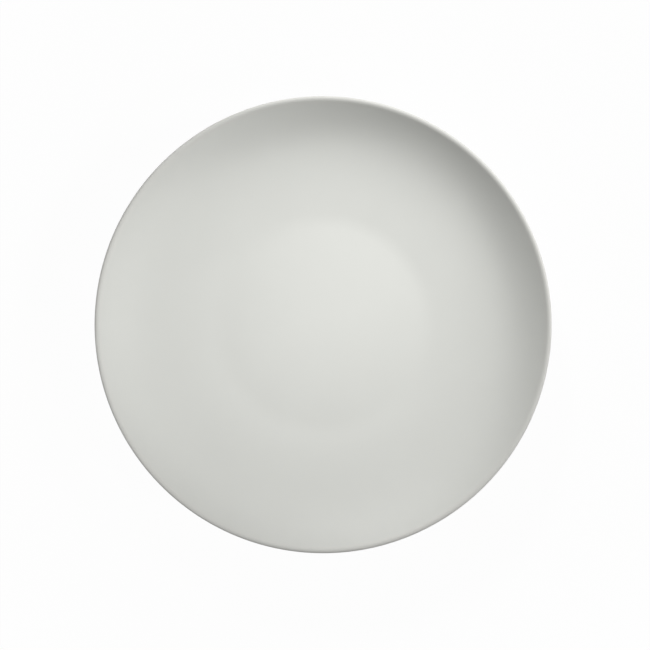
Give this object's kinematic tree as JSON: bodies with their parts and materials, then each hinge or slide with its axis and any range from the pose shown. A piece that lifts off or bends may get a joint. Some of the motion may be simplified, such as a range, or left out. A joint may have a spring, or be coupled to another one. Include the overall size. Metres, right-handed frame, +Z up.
{
  "type": "charger plate",
  "caption": "Round coupe charger plate in satin-glazed porcelain: a flat well, a rimless wall that sweeps up to a thin rounded lip, and a turned foot ring left dry.",
  "frame": {"origin": "centre of the circle that the foot ring stands on, at table level", "axes": "+Z up along the plate's axis of turning, out of the well; X and Y lie in the table plane and are free, because the plate is round"},
  "size_m": [0.32, 0.32, 0.036],
  "materials": {
    "fired_porcelain": "matte",
    "outer_satin_glaze": "satin",
    "base_satin_glaze": "satin"
  },
  "bodies": {
    "root": {"porcelain_body": "fired_porcelain", "outer_glaze": "outer_satin_glaze", "base_glaze": "base_satin_glaze"}
  },
  "joints": []
}
